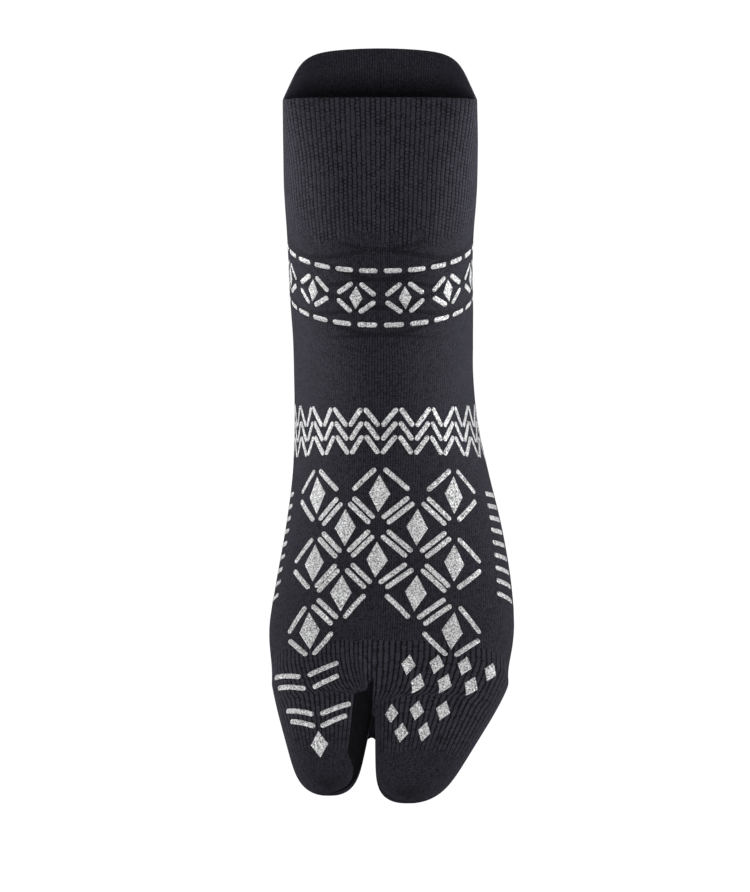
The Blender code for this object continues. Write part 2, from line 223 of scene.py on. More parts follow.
def slopes(side, u, station):
    """The surface's two tangents, by u and by station, from points a small step to either side."""
    step = 1e-4
    around = sock_surface(side, u + step, station) - sock_surface(side, u - step, station)
    along = sock_surface(side, u, station + step) - sock_surface(side, u, station - step)
    return around / (2 * step), along / (2 * step)


def outward(side, u, station):
    """Unit normal out of the sock: the tangents' cross product, or on the mid-lines both sides' mean."""
    near = np.clip(u, 2e-4, 1 - 2e-4)
    both = []
    for half in (side, -side):
        around, along = slopes(half, near, station)
        both.append(half * unit(np.cross(along, around)))
    return unit(np.where((near == u)[..., None], both[0], both[0] + both[1]))


# Wales are columns of stitches. As many run down the whole sock as the cuff has ribs, spread
# evenly over the way round each half, and how far down the sock a station lies is measured
# over the front quarter.
WALES = 136
HALF_WALES = WALES // 2
TABLE_STATIONS = np.linspace(0, WEB + 0.9995, 321)
TABLE_TURN = np.linspace(0, 2, 601)
TABLE_U = (np.floor(TABLE_TURN) + 0.5 - 0.5 * np.cos(math.pi * (TABLE_TURN % 1))) / 2
TABLE_SHARES = np.linspace(0, 1, 401)
QUARTER = 0.27


def arc_shares(side):
    """Share of the way round at each u of the table, from the lengths of the chords between its points."""
    points = sock_surface(side, TABLE_U[None, :], TABLE_STATIONS[:, None])
    length = np.cumsum(np.linalg.norm(np.diff(points, axis=1), axis=-1), axis=1)
    return np.hstack([np.zeros((len(points), 1)), length / length[:, -1:]])


SHARE_AT_U = {side: arc_shares(side) for side in (MEDIAL, LATERAL)}
U_AT_SHARE = {side: np.stack([np.interp(TABLE_SHARES, shares, TABLE_U) for shares in SHARE_AT_U[side]])
              for side in (MEDIAL, LATERAL)}
QUARTER_LINE = sock_surface(LATERAL, QUARTER, TABLE_STATIONS)
DOWN_THE_SOCK = 1000 * np.r_[0, np.cumsum(np.linalg.norm(np.diff(QUARTER_LINE, axis=0), axis=1))]


def look_up(table, station, column):
    """Value between the four nearest entries of a table of stations by columns, each by its closeness."""
    row = np.clip(station / TABLE_STATIONS[-1], 0, 1) * (len(table) - 1)
    column = np.clip(column, 0, 1) * (table.shape[1] - 1)
    at_row = np.minimum(row.astype(int), len(table) - 2)
    at_column = np.minimum(column.astype(int), table.shape[1] - 2)
    r, c = row - at_row, column - at_column
    return ((1 - r) * ((1 - c) * table[at_row, at_column] + c * table[at_row, at_column + 1])
            + r * ((1 - c) * table[at_row + 1, at_column] + c * table[at_row + 1, at_column + 1]))


def knit_uv(side, u, station):
    """Knit coordinates: the wale counted from the front, and millimetres down the sock."""
    u, station = np.broadcast_arrays(u, station)
    twice = 2 * np.clip(u, 0, 1)
    whole = np.minimum(np.floor(twice), 1)
    share = look_up(SHARE_AT_U[side], station, (whole + np.arccos(1 - 2 * (twice - whole)) / math.pi) / 2)
    return np.stack([side * share * HALF_WALES, np.interp(station, TABLE_STATIONS, DOWN_THE_SOCK)], axis=-1)


def add_surface(name, grids, material):
    """One mesh from grids of points with their knit coordinates, joined where their points meet.

    Each grid is (points, uv, flip), with rows down the piece and flip for faces wound the other way."""
    points, uvs, quads, count = [], [], [], 0
    for grid, uv, flip in grids:
        index = count + np.arange(grid.shape[0] * grid.shape[1]).reshape(grid.shape[:2])
        corners = [index[:-1, :-1], index[1:, :-1], index[1:, 1:], index[:-1, 1:]]
        cells = np.stack(corners, axis=-1).reshape(-1, 4)
        quads.append(cells[:, ::-1] if flip else cells)
        points.append(grid.reshape(-1, 3))
        uvs.append(uv.reshape(-1, 2))
        count += index.size
    points, uvs, quads = np.concatenate(points), np.concatenate(uvs), np.concatenate(quads)
    _, first, shared = np.unique(np.round(points, 7), axis=0, return_index=True, return_inverse=True)
    welded = shared.reshape(-1)[quads]
    kept = welded != np.roll(welded, 1, axis=1)
    whole = kept.sum(axis=1) > 2
    welded, kept, quads = welded[whole], kept[whole], quads[whole]
    starts = np.r_[0, np.cumsum(kept.sum(axis=1))[:-1]]
    mesh = bpy.data.meshes.new(name)
    mesh.vertices.add(len(first))
    mesh.vertices.foreach_set("co", points[first].astype(np.float32).ravel())
    mesh.loops.add(int(kept.sum()))
    mesh.loops.foreach_set("vertex_index", welded[kept].astype(np.int32))
    mesh.polygons.add(len(starts))
    mesh.polygons.foreach_set("loop_start", starts.astype(np.int32))
    mesh.update(calc_edges=True)
    mesh.validate()
    mesh.uv_layers.new(name="knit").uv.foreach_set("vector", uvs[quads[kept]].astype(np.float32).ravel())
    mesh.materials.append(material)
    mesh.shade_smooth()
    piece = bpy.data.objects.new(name, mesh)
    bpy.context.collection.objects.link(piece)
    return piece


class Nodes:
    """Writes a node tree a line at a time."""

    def __init__(self, tree):
        self.tree = tree

    def add(self, kind, inputs=(), **settings):
        """A node with its settings made and its inputs linked or set."""
        node = self.tree.nodes.new(kind)
        for setting, value in settings.items():
            setattr(node, setting, value)
        return self.fill(node, inputs)

    def fill(self, node, inputs):
        """Links or sets a node's inputs by name or number."""
        for key, value in dict(inputs).items():
            self.join(node.inputs[key], value)
        return node

    def join(self, socket, value):
        """Links a socket, or a node's first output, or sets a plain value."""
        if isinstance(value, bpy.types.Node):
            value = value.outputs[0]
        if isinstance(value, bpy.types.NodeSocket):
            self.tree.links.new(value, socket)
        else:
            socket.default_value = value

    def math(self, operation, *values):
        """A Math node's output."""
        return self.add("ShaderNodeMath", dict(enumerate(values)), operation=operation).outputs[0]

    def minus(self, one, other):
        """One value less the other."""
        return self.math("SUBTRACT", one, other)

    def plus(self, *values):
        """Sum of the values, added one after the other."""
        return reduce(lambda one, other: self.math("ADD", one, other), values)

    def times(self, *values):
        """Product of the values, multiplied one after the other."""
        return reduce(lambda one, other: self.math("MULTIPLY", one, other), values)

    def blend(self, factor, one, other):
        """Colour one at factor 0 and the other at factor 1."""
        ends = {"Factor": factor, "A": one, "B": other}
        return self.add("ShaderNodeMix", ends, data_type="RGBA").outputs["Result"]

    def ramp(self, value, low, high, start=0.0, end=1.0):
        """Smooth step of a value from start at low to end at high."""
        inputs = {"Value": value, "From Min": low, "From Max": high, "To Min": start, "To Max": end}
        return self.add("ShaderNodeMapRange", inputs, interpolation_type="SMOOTHSTEP").outputs[0]


def new_material(name):
    """A material, a writer for its nodes, and its shader."""
    material = bpy.data.materials.new(name)
    material.use_nodes = True
    return material, Nodes(material.node_tree), material.node_tree.nodes["Principled BSDF"]


def new_group(name, inputs, outputs):
    """An empty node group with named inputs, each a kind and a value, and named outputs."""
    tree = bpy.data.node_groups.new(name, "ShaderNodeTree")
    for label, (kind, value) in inputs.items():
        socket = tree.interface.new_socket(label, in_out="INPUT", socket_type=kind)
        if value is not None:
            socket.default_value = value
    for label, kind in outputs.items():
        tree.interface.new_socket(label, in_out="OUTPUT", socket_type=kind)
    nodes = Nodes(tree)
    return nodes, nodes.add("NodeGroupInput").outputs, nodes.add("NodeGroupOutput").inputs


FLOAT_KIND = "NodeSocketFloat"
COLOUR_KIND = "NodeSocketColor"
# The yarn sways by a share of a wale, less where ribs hold it and more along the sock
SWAY = 0.6
SWAY_HELD_BY_RIB = 0.5
SWAY_DOWN = 1.4
STITCH_SLANT = 1.6
BEADS_BRIDGED = 0.4
YARN_UNEVEN = 0.45


def knit_group():
    """Stitches from knit coordinates: where the yarn stands up, and its colour, with painted shade in the
    gaps between.

    A plain stitch is two legs that slope up and out from the middle of its wale, and a bead is one
    round stitch, set half a row aside in every other wale. Both fall off to the gap all round. Twill
    is the share of a row that each wale lies lower than the last, and gauge is how many wales are knitted
    for each counted one."""
    nodes, given, result = new_group("knit stitches", {
        "Knit": ("NodeSocketVector", None),
        "Row": (FLOAT_KIND, 0.8),
        "Gauge": (FLOAT_KIND, 1.0),
        "Beads": (FLOAT_KIND, 0.0),
        "Rib": (FLOAT_KIND, 0.4),
        "Contrast": (FLOAT_KIND, 1.0),
        "Twill": (FLOAT_KIND, 0.0),
        "Yarn": (COLOUR_KIND, (0.02, 0.02, 0.025, 1)),
        "Gap": (COLOUR_KIND, (0.005, 0.005, 0.006, 1)),
    }, {"Color": COLOUR_KIND, "Height": FLOAT_KIND})
    split = nodes.add("ShaderNodeSeparateXYZ", {0: given["Knit"]})
    sway = nodes.add("ShaderNodeTexNoise", {"Vector": given["Knit"], "Scale": 0.55, "Detail": 2.0})
    loose = nodes.minus(SWAY, nodes.times(given["Rib"], SWAY_HELD_BY_RIB))
    sway = nodes.times(nodes.minus(sway.outputs["Fac"], 0.5), loose)
    wale = nodes.times(nodes.plus(split.outputs[0], sway), given["Gauge"])
    down = nodes.plus(split.outputs[1], nodes.times(sway, SWAY_DOWN))
    column = nodes.math("FLOOR", wale)
    across = nodes.math("ABSOLUTE", nodes.minus(nodes.minus(wale, column), 0.5))
    course = nodes.math("DIVIDE", down, given["Row"])
    odd = nodes.math("FLOORED_MODULO", column, 2.0)
    half_row = nodes.times(odd, 0.5, given["Beads"])
    course = nodes.plus(course, half_row, nodes.times(column, given["Twill"]))
    slant = nodes.times(across, nodes.minus(1.0, given["Beads"]))
    course = nodes.minus(course, nodes.times(slant, STITCH_SLANT))
    in_course = nodes.minus(nodes.math("FRACT", course), 0.5)
    from_row = nodes.math("ABSOLUTE", nodes.times(in_course, 2.0))
    held = nodes.minus(1.0, nodes.times(given["Beads"], BEADS_BRIDGED))
    row_fall = nodes.minus(1.0, nodes.times(nodes.math("POWER", from_row, 2.2), held))
    leg = nodes.times(nodes.minus(across, 0.25), 4.0)
    leg_fall = nodes.minus(1.0, nodes.math("POWER", nodes.math("ABSOLUTE", leg), 2.0))
    bead_fall = nodes.minus(1.0, nodes.math("POWER", nodes.times(across, 2.0), 3.0))
    across_fall = {"Factor": given["Beads"], "A": leg_fall, "B": bead_fall}
    over = nodes.add("ShaderNodeMix", across_fall, data_type="FLOAT")
    rib = nodes.times(given["Rib"], bead_fall)
    loops = nodes.times(nodes.math("MAXIMUM", over.outputs[0], 0.0), row_fall)
    height = nodes.plus(nodes.times(loops, nodes.minus(1.0, given["Rib"])), rib)
    stitch = nodes.add("ShaderNodeCombineXYZ", {0: column, 1: nodes.math("FLOOR", course)})
    chance = nodes.add("ShaderNodeTexWhiteNoise", {"Vector": stitch}, noise_dimensions="2D")
    shade = nodes.times(nodes.minus(chance.outputs["Value"], 0.5), YARN_UNEVEN)
    middle = nodes.plus(nodes.times(given["Rib"], 0.25), 0.5)
    above = nodes.plus(nodes.minus(height, middle), shade)
    lit = nodes.plus(nodes.times(above, given["Contrast"]), 0.5)
    nodes.join(result["Height"], height)
    # The gaps take painted shade, blended in by how little each spot stands up
    nodes.join(result["Color"], nodes.blend(nodes.ramp(lit, 0.0, 1.0), given["Gap"], given["Yarn"]))
    return nodes.tree


def fibre_group():
    """Spun yarn: fine fibres that lighten the surface in specks, most where slow patches are fluffed."""
    nodes, given, result = new_group("yarn fibres", {
        "Color": (COLOUR_KIND, (0.02, 0.02, 0.025, 1)),
        "Fluff": (COLOUR_KIND, (0.09, 0.09, 0.11, 1)),
        "Amount": (FLOAT_KIND, 0.3),
    }, {"Color": COLOUR_KIND, "Height": FLOAT_KIND})
    place = nodes.add("ShaderNodeTexCoord").outputs["Object"]
    fibre = {"Vector": place, "Scale": 1900.0, "Detail": 3.0, "Roughness": 0.7}
    fine = nodes.add("ShaderNodeTexNoise", fibre)
    slow = nodes.add("ShaderNodeTexNoise", {"Vector": place, "Scale": 60.0, "Detail": 3.0})
    specks = nodes.ramp(fine.outputs["Fac"], 0.50, 0.72)
    patches = nodes.ramp(slow.outputs["Fac"], 0.35, 0.70, 0.6, 1.1)
    share = nodes.times(specks, patches, given["Amount"])
    nodes.join(result["Color"], nodes.blend(share, given["Color"], given["Fluff"]))
    nodes.join(result["Height"], fine.outputs["Fac"])
    return nodes.tree


KNIT_STITCHES = knit_group()
YARN_FIBRES = fibre_group()
YARN = (0.0330, 0.0320, 0.0430, 1)
# Near-black of the gaps and holes between stitches: painted shade for the stitches' relief
GAP_SHADE = (0.0035, 0.0035, 0.0045, 1)
FLUFF = (0.105, 0.102, 0.132, 1)


def knit_material(name, row, beads, rib, depth, zone=None):
    """Charcoal knit: stitches, fibres and a soft sheen.

    zone(nodes, down, wale) may give by place, from millimetres down the sock and the wale, its own row,
    gauge, beads, rib, contrast and twill, and where the gaps' painted shade fills open holes and shaded
    spots."""
    material, nodes, shader = new_material(name)
    knit = nodes.add("ShaderNodeUVMap", uv_map="knit").outputs[0]
    plain = {"Knit": knit, "Row": row, "Beads": beads, "Rib": rib, "Yarn": YARN, "Gap": GAP_SHADE}
    stitches = nodes.add("ShaderNodeGroup", plain, node_tree=KNIT_STITCHES)
    colour, stands = stitches.outputs["Color"], stitches.outputs["Height"]
    amount = nodes.plus(nodes.times(stands, 0.6), 0.1)
    if zone:
        split = nodes.add("ShaderNodeSeparateXYZ", {0: knit})
        made = zone(nodes, split.outputs[1], split.outputs[0])
        if "Holes" in made:
            holes_and_shade = nodes.times(made.pop("Holes"), nodes.ramp(stands, 0.35, 0.75, 1.0, 0.55))
            colour = nodes.blend(holes_and_shade, colour, GAP_SHADE)
        nodes.fill(stitches, made)
    spun = {"Color": colour, "Fluff": FLUFF, "Amount": amount}
    fibres = nodes.add("ShaderNodeGroup", spun, node_tree=YARN_FIBRES)
    height = nodes.plus(stands, nodes.times(fibres.outputs["Height"], 0.25))
    bump = nodes.add("ShaderNodeBump", {"Height": height, "Distance": depth, "Strength": 1.0})
    nodes.fill(shader, {
        "Base Color": fibres.outputs["Color"],
        "Normal": bump,
        "Roughness": 0.9,
        "Specular IOR Level": 0.15,
        "Sheen Weight": 0.12,
        "Sheen Roughness": 0.38,
        "Sheen Tint": (0.74, 0.71, 0.96, 1),
    })
    return material


CUFF_KNIT = 0.0017
RIB_RELIEF = 0.00006
RIB_FADE = 0.25
BEAD_ROW = 1.55
RIB_COLUMNS = 6
OUTSIDE_ROWS = 46
INSIDE_ROWS = 14
TURNED_ROWS = 9
LEG_STATIONS = np.linspace(0, HEEL_START, 200)
CUFF_END = float(np.interp(CUFF_HEIGHT, -through(TOPS[:, 1], LEG_STATIONS), LEG_STATIONS))


def cuff_grid(side):
    """One side's half of the cuff, with a closed profile: down the outside, up the inside, and over the edge.

    The depth into the wall is 0 outside and 1 inside, and at the edge both go round half a circle.
    The ribs lift the outer face, and the inner one half as much, by the sine of their count round the leg."""
    wale = np.linspace(0, HALF_WALES, HALF_WALES * RIB_COLUMNS + 1)[None, :]
    edge = CUFF_KNIT / 2 / CUFF_HEIGHT * CUFF_END
    half_turn = np.linspace(0, math.pi, TURNED_ROWS)[1:-1]
    outside, inside = np.linspace(edge, CUFF_END, OUTSIDE_ROWS), np.linspace(CUFF_END, edge, INSIDE_ROWS)
    station = np.r_[outside, inside, edge * (1 - np.sin(half_turn)), edge][:, None]
    depth = np.r_[np.zeros(OUTSIDE_ROWS), np.ones(INSIDE_ROWS), 0.5 + 0.5 * np.cos(half_turn), 0][:, None]
    wale, station, depth = np.broadcast_arrays(wale, station, depth)
    u = look_up(U_AT_SHARE[side], station, wale / HALF_WALES)
    relief = RIB_RELIEF * np.abs(np.sin(math.pi * wale)) ** 0.8 * smooth((CUFF_END - station) / RIB_FADE)
    lift = relief * (1 - 1.5 * depth) - depth * CUFF_KNIT
    points = sock_surface(side, u, station) + lift[..., None] * outward(side, u, station)
    points[:, [0, -1], 0] = 0
    down = np.interp(station, TABLE_STATIONS, DOWN_THE_SOCK) * (1 - 2 * depth)
    return points, np.stack([side * wale, down], axis=-1), side == MEDIAL


def cuff_zones(nodes, down, wale):
    """Beads stand out most at the front and back, and the face turned in is plain and fine."""
    turn = nodes.times(wale, 4 * math.pi / WALES)
    sides = nodes.times(nodes.math("COSINE", turn), 0.6)
    turned_in = nodes.math("LESS_THAN", down, 0.0)
    contrast = nodes.times(nodes.plus(sides, 1.4), nodes.ramp(down, -1.0, 1.0, 0.25, 1.0))
    row = nodes.minus(BEAD_ROW, nodes.times(turned_in, 0.65))
    gauge = nodes.plus(1.0, nodes.times(turned_in, 0.9))
    return {"Contrast": contrast, "Row": row, "Gauge": gauge}


cuff_knit = knit_material("ribbed charcoal knit", BEAD_ROW, 1.0, 0.10, 0.0002, cuff_zones)
cuff = add_surface("ribbed_cuff_knit", [cuff_grid(MEDIAL), cuff_grid(LATERAL)], cuff_knit)
cuff.data.set_sharp_from_angle(angle=math.radians(60))
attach(cuff, "root")
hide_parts("ribbed_cuff")


# Leg and foot: the fine plain knit from below the cuff to the toe caps, knitted in one
# with the cuff. A lattice of tuck stitches marks the leg with holes in the gaps' painted
# shade, and ribs shape the knit round the toes. Their gap is lined and bridged in near-black
# knit without sheen: painted shade between the toes.
HEEL_SIDE = 0.53
CAP_PAST_WEB = 0.021
FINE_KNIT = 0.0012
ROW_LENGTH = 0.0014
HALF_COLUMNS = 88
LATTICE_WAVES = 3.5
LATTICE_PITCH = 6.0
LATTICE_TOP = 64.0
LATTICE_START = 56.0
LATTICE_END = 103.0
BEADS_END = 53.0
BEADS_UNEVEN = 9.0
SIDE_WALES = (14.0, 28.0)
TWILL_WALE = 20.5
TOE_RIBS = 231.0
RIBS_FADE = (264.0, 275.0)
ALL_ROUND = np.unique(np.r_[np.linspace(0, 1, HALF_COLUMNS + 1), HEEL_SIDE])
VALLEY_ROWS = 40
OPENING_ROWS = 9
BEFORE_CAP_ROWS = 12
INNER_SHARE = 15 / HALF_COLUMNS
INNER_TOP = 244.5
INNER_WIDENS = 10
INNER_CLOSES = 279
INNER_TIP = 293
# Near-black yarn for the faces between the toes: painted shade, standing in for the shadow in their gap
SHADE_BETWEEN_TOES_YARN = (0.008, 0.008, 0.010, 1)
FLOOR_REACH = 0.0100
FLOOR_END_HEIGHT = 0.0130
FLOOR_END_CURVE = 0.0015
FLOOR_INTO_WALL = 0.0006
FLOOR_ROWS = 40
FLOOR_COLUMNS = 13
PAST_WEB = 255


def thicken(piece, thickness):
    """Gives a knitted face its wall, inwards, with closed rims whose corners stay crisp."""
    wall = piece.modifiers.new("wall", "SOLIDIFY")
    wall.thickness = thickness
    wall.offset = -1
    wall.use_rim = True
    face = piece.data
    solid = bpy.data.meshes.new_from_object(piece.evaluated_get(bpy.context.evaluated_depsgraph_get()))
    piece.modifiers.clear()
    piece.data = solid
    bpy.data.meshes.remove(face)
    solid.name = piece.name
    solid.set_sharp_from_angle(angle=math.radians(50))
    return piece


def even_rows(start, end):
    """Stations about ROW_LENGTH apart on the longest of the front, side and back lines."""
    at = np.linspace(start, end, 80)
    lines = sock_surface(LATERAL, np.array([0.0, 0.5, 1.0])[:, None], at[None, :])
    length = np.linalg.norm(np.diff(lines, axis=1), axis=-1).sum(axis=1).max()
    return np.linspace(start, end, max(2, round(length / ROW_LENGTH)) + 1)


def foot_rows(side):
    """Stations from the ankle to the toe cap, closer towards the web and where the pockets open past it."""
    reach = TOES[side].reach
    quarter = np.linspace(0, math.pi / 2, VALLEY_ROWS)
    valley = VALLEY_START + (WEB - VALLEY_START) * np.sin(quarter) ** (2 / 3)
    opening = WEB + WEB_ROUND / reach * (1 - np.cos(np.linspace(0, math.pi / 2, OPENING_ROWS)))
    before_cap = np.linspace(opening[-1], WEB + CAP_PAST_WEB / reach, BEFORE_CAP_ROWS)
    return np.concatenate([even_rows(HEEL_END, VALLEY_START), valley[1:], opening[1:], before_cap[1:]])


def face_grid(side, u, station):
    """Plain outer face over a range of u and station."""
    u, station = np.atleast_2d(u), np.atleast_1d(station)[:, None]
    return sock_surface(side, u, station), knit_uv(side, u, station), side == MEDIAL


def inner_side(side, distance, height):
    """X of a toe pocket's inner side at a distance past the web and a height above the sole."""
    turn = np.linspace(-0.22, 0.22, 89)
    points = toe_curve(side, turn[None, :], (distance / TOES[side].reach)[:, None])
    x, y, z = np.moveaxis(points, -1, 0)
    up = ANKLE_HEIGHT - y * math.sin(TOES_DOWN) + (z + LEG_HEIGHT) * math.cos(TOES_DOWN)
    return np.array([np.interp(at, heights, xs) for at, heights, xs in zip(height, up, x)])


def floor_grid():
    """The knit that bridges the toes: it slopes from the web to the sole, and its free edge is hollowed."""
    distance = np.linspace(0, FLOOR_REACH, FLOOR_ROWS)
    height = WEB_HEIGHT + (FLOOR_END_HEIGHT - WEB_HEIGHT) * distance / FLOOR_REACH
    across = np.linspace(0, 1, FLOOR_COLUMNS)[None, :]
    hollow = FLOOR_END_CURVE * (1 - (2 * across - 1) ** 2)
    down = np.linspace(0, 1, FLOOR_ROWS)[:, None] * (FLOOR_REACH - hollow)
    near = np.interp(down, distance, inner_side(MEDIAL, distance, height)) - FLOOR_INTO_WALL
    far = np.interp(down, distance, inner_side(LATERAL, distance, height)) + FLOOR_INTO_WALL
    y, z = foot_point(WEB_FROM_HEEL + down, np.interp(down, distance, height))
    knit = np.stack(np.broadcast_arrays(0.4 - 3 * across, PAST_WEB + 1000 * down), axis=-1)
    return np.stack([near + (far - near) * across, y, z], axis=-1), knit, False


def painted_shade_knit():
    """Painted shade between the toes: the knit in near-black yarn, without the sheen of the brushed face."""
    material, nodes, shader = new_material("painted shade between toes")
    knit = nodes.add("ShaderNodeUVMap", uv_map="knit").outputs[0]
    tones = {"Knit": knit, "Row": 0.95, "Beads": 0.6, "Yarn": SHADE_BETWEEN_TOES_YARN, "Gap": GAP_SHADE}
    stitches = nodes.add("ShaderNodeGroup", tones, node_tree=KNIT_STITCHES)
    bump = nodes.add("ShaderNodeBump", {"Height": stitches.outputs["Height"], "Distance": 0.0001})
    nodes.fill(shader, {"Base Color": stitches.outputs["Color"], "Normal": bump, "Roughness": 0.95,
                        "Specular IOR Level": 0.1})
    return material


def paint_shade_between_toes(piece, material):
    """Paints shade on the side of the big toe that faces the others, with the near-black knit, up to a line
    of its faces.

    The line widens from the web, keeps one u, found from the knit coordinates at each face, and closes in
    at the tip."""
    mesh = piece.data
    mesh.materials.append(material)
    place = np.empty(2 * len(mesh.loops), np.float32)
    mesh.uv_layers["knit"].uv.foreach_get("vector", place)
    first = np.empty(len(mesh.polygons), np.int32)
    mesh.polygons.foreach_get("loop_start", first)
    count = np.diff(np.r_[first, len(mesh.loops)])
    wale, down = (np.add.reduceat(place[axis::2], first) / count for axis in (0, 1))
    u = look_up(U_AT_SHARE[MEDIAL], np.interp(down, DOWN_THE_SOCK, TABLE_STATIONS), -wale / HALF_WALES)
    widens = smooth((down - INNER_TOP) / INNER_WIDENS)
    closes = smooth((down - INNER_CLOSES) / (INNER_TIP - INNER_CLOSES))
    line = INNER_SHARE * widens * (1 - 0.8 * closes)
    inner = (wale < 0.5) & (u < line) & (down > INNER_TOP)
    mesh.polygons.foreach_set("material_index", inner.astype(np.int32))


def fine_zones(nodes, down, wale):
    """Beads run out unevenly below the cuff, lattice lines of holes in the gaps' painted shade mark the leg,
    and ribs grow towards the toes.

    The lattice is two sets of waves round the leg, one the mirror of the other, so that they close into eyes.
    Its lines are where the distance down from a wave's middle is next to nothing."""
    turn = nodes.times(wale, 2 * math.pi * LATTICE_WAVES / WALES)
    wave = nodes.times(nodes.math("COSINE", turn), 0.5)
    place = nodes.math("DIVIDE", nodes.minus(down, LATTICE_TOP), LATTICE_PITCH)
    nearest = []
    for shift, way in ((0.0, "ADD"), (1.0, "SUBTRACT")):
        moved = nodes.times(nodes.minus(nodes.math(way, place, wave), shift), 0.5)
        in_wave = nodes.minus(nodes.math("FRACT", nodes.plus(moved, 0.5)), 0.5)
        nearest.append(nodes.times(nodes.math("ABSOLUTE", in_wave), 2 * LATTICE_PITCH))
    line = nodes.ramp(nodes.math("MINIMUM", *nearest), 0.5, 1.5, 1.0, 0.0)
    above = nodes.ramp(down, LATTICE_START, LATTICE_START + 4)
    inside = nodes.times(above, nodes.ramp(down, LATTICE_END - 6, LATTICE_END, 1.0, 0.0))
    aside = nodes.math("ABSOLUTE", wale)
    at_side = nodes.ramp(aside, *SIDE_WALES)
    pair_of_wales = nodes.math("FLOOR", nodes.times(wale, 0.5))
    chance = nodes.add("ShaderNodeTexWhiteNoise", {"W": pair_of_wales}, noise_dimensions="1D")
    uneven = nodes.times(chance.outputs["Value"], BEADS_UNEVEN)
    fine = nodes.math("GREATER_THAN", down, nodes.plus(uneven, BEADS_END))
    fade = nodes.ramp(down, *RIBS_FADE, 1.0, 0.0)
    toes = nodes.times(nodes.ramp(down, TOE_RIBS - 1, TOE_RIBS + 1), fade)
    finer = nodes.times(fine, 0.9)
    coarser = nodes.times(nodes.math("GREATER_THAN", down, TOE_RIBS), 1.1)
    standing = [nodes.times(zone, share)
                for zone, share in ((fine, 0.6), (toes, 0.7), (at_side, 0.25))]
    ribbed = [nodes.times(zone, share) for zone, share in ((at_side, 0.15), (toes, 0.6))]
    return {
        "Holes": nodes.times(line, inside),
        "Gauge": nodes.minus(nodes.plus(finer, 1.0), coarser),
        "Row": nodes.minus(BEAD_ROW, nodes.times(fine, 0.8)),
        "Beads": nodes.minus(1.0, nodes.times(fine, 0.4)),
        "Twill": nodes.times(nodes.math("GREATER_THAN", aside, TWILL_WALE), 0.34),
        "Rib": nodes.plus(*ribbed, 0.2),
        "Contrast": nodes.plus(*standing, 1.5),
    }


fine_knit = knit_material("fine charcoal knit", 0.75, 0.0, 0.3, 0.0002, fine_zones)
skin = []
for side in (MEDIAL, LATERAL):
    skin.append(face_grid(side, ALL_ROUND, even_rows(CUFF_END, HEEL_START)))
    skin.append(face_grid(side, ALL_ROUND[ALL_ROUND <= HEEL_SIDE], even_rows(HEEL_START, HEEL_END)))
    skin.append(face_grid(side, ALL_ROUND, foot_rows(side)))
skin.append(floor_grid())
leg_and_foot = thicken(add_surface("leg_and_foot_knit", skin, fine_knit), FINE_KNIT)
shade_between_toes_knit = painted_shade_knit()
# Painted shade: the faces between the toes take the near-black knit without sheen
paint_shade_between_toes(leg_and_foot, shade_between_toes_knit)
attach(leg_and_foot, "root")
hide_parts("leg_tube", "foot_tube")


# Heel pocket: a cup of closer, slightly thicker plain knit, turned with short rows so that
# it holds the round of the heel. Its gore lines run down both sides to meet the sole.
HEEL_KNIT = 0.0016

heel_knit = knit_material("close heel knit", 0.95, 0.6, 0.2, 0.0002)
heel_grids = [face_grid(side, ALL_ROUND[ALL_ROUND >= HEEL_SIDE], even_rows(HEEL_START, HEEL_END))
              for side in (MEDIAL, LATERAL)]
heel = thicken(add_surface("heel_pocket_knit", heel_grids, heel_knit), HEEL_KNIT)
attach(heel, "root")
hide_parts("heel_pocket")


# Toe caps: the closed ends of the two toe pockets, in smooth close knit without ribs,
# closed by a linked seam that lies sunken under each tip.
TOE_KNIT = 0.0014
CAP_ROWS = 40
SEAM_DOWN = 286.0
UNDERSIDE = 36.0
# Millimetres down over which each toe tip darkens: painted shade where the tip turns under
TIP_SHADE = (289.0, 296.0)


def cap_zones(nodes, down, wale):
    """Fine even stitches, a sunken seam underneath, and painted shade that darkens the tip where it turns
    under.
    """
    from_seam = nodes.math("ABSOLUTE", nodes.minus(down, SEAM_DOWN))
    under = nodes.math("GREATER_THAN", nodes.math("ABSOLUTE", wale), UNDERSIDE)
    seam = nodes.times(nodes.ramp(from_seam, 0.25, 0.8, 0.7, 0.0), under)
    # Painted shade darkens the tip, and the seam darkens underneath
    holes_and_shade = nodes.math("MAXIMUM", nodes.ramp(down, *TIP_SHADE, 0.0, 0.8), seam)
    return {"Gauge": 1.9, "Contrast": 1.5, "Holes": holes_and_shade}


cap_knit = knit_material("smooth toe knit", 0.8, 0.6, 0.2, 0.00015, cap_zones)
for side, node in ((MEDIAL, "big_toe_cap"), (LATERAL, "small_toes_cap")):
    start = WEB + CAP_PAST_WEB / TOES[side].reach
    cap_rows = start + (WEB + 1 - start) * np.sin(np.linspace(0, math.pi / 2, CAP_ROWS))
    cap_rows[-1] = WEB + 1
    cap_face = face_grid(side, np.linspace(0, 1, HALF_COLUMNS + 1), cap_rows)
    cap = thicken(add_surface(node + "_knit", [cap_face], cap_knit), TOE_KNIT)
    # Painted shade: the cap's faces between the toes take the near-black knit without sheen
    paint_shade_between_toes(cap, shade_between_toes_knit)
    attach(cap, "root")
    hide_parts(node)


# Print: silver glitter foil pressed onto the finished knit, in short round-ended dashes and
# filled diamonds. It makes a band round the leg, a zigzag over the ankle, staggered diamonds
# on the instep, rungs at both sides, and chevrons and small diamonds on the toes.
DASH_WIDTH = 0.0021
FOIL_TOP = 0.00009
FOIL_UNDER = -0.00008
BAND_DOWN = 81.0
BAND_DIAMONDS = 12
ZIGZAG_DOWN = 141.0
SHARE_STEP = 0.003
DOWN_STEP = 0.3


